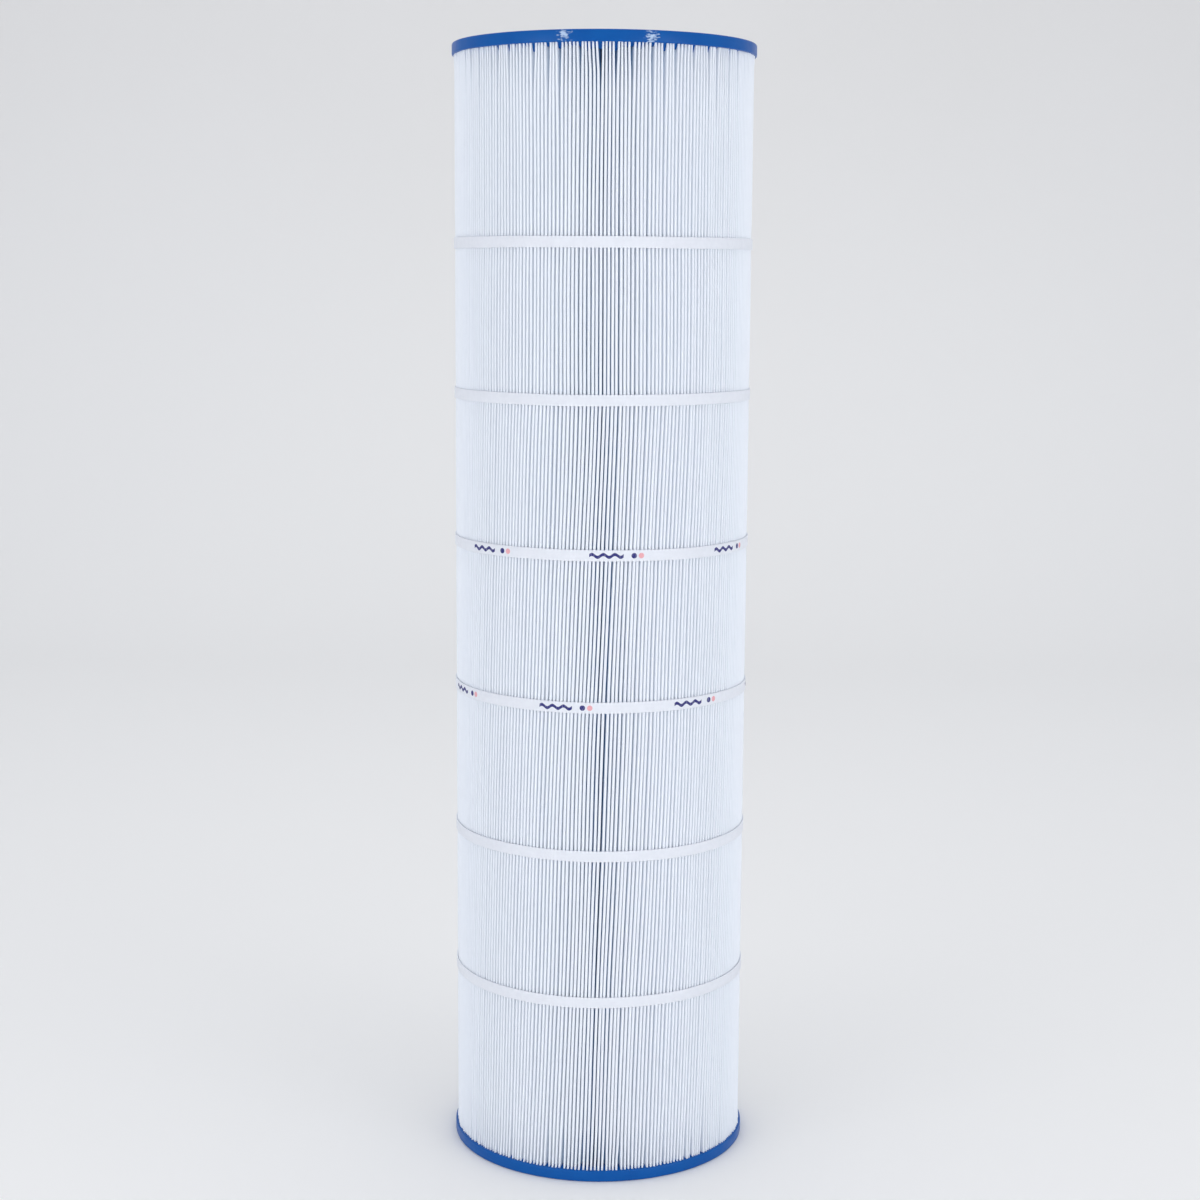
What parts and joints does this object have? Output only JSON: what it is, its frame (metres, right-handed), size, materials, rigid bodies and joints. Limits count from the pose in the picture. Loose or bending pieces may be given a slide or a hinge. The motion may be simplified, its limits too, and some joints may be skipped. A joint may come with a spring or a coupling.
{
  "type": "pleated filter cartridge",
  "caption": "Tall round pleated filter cartridge with moulded end caps, an open port at each end, a latticed core and straps round the pleats.",
  "frame": {"origin": "centre of the bottom end cap's outside face, which the cartridge stands on", "axes": "+Z along the cartridge's axis towards the top end cap, +Y towards the seam of the filter sheet, -Y towards the front"},
  "size_m": [0.178, 0.178, 0.66],
  "materials": {
    "end_cap": "satin cast polyurethane, blue",
    "core": "moulded polypropylene, natural white",
    "filter_sheet": "spun-bonded polyester, white",
    "seam_bead": "hot-melt adhesive, cream",
    "band": "woven polyester strap, off-white"
  },
  "bodies": {
    "root": {"top_end_cap": "end_cap", "bottom_end_cap": "end_cap", "core_section_lower": "core", "core_section_middle": "core", "core_section_upper": "core", "pleated_media": "filter_sheet", "media_seam_bead": "seam_bead", "band_1": "band", "band_2": "band", "band_3": "band", "band_4": "band", "band_5": "band", "band_6": "band"}
  },
  "joints": []
}
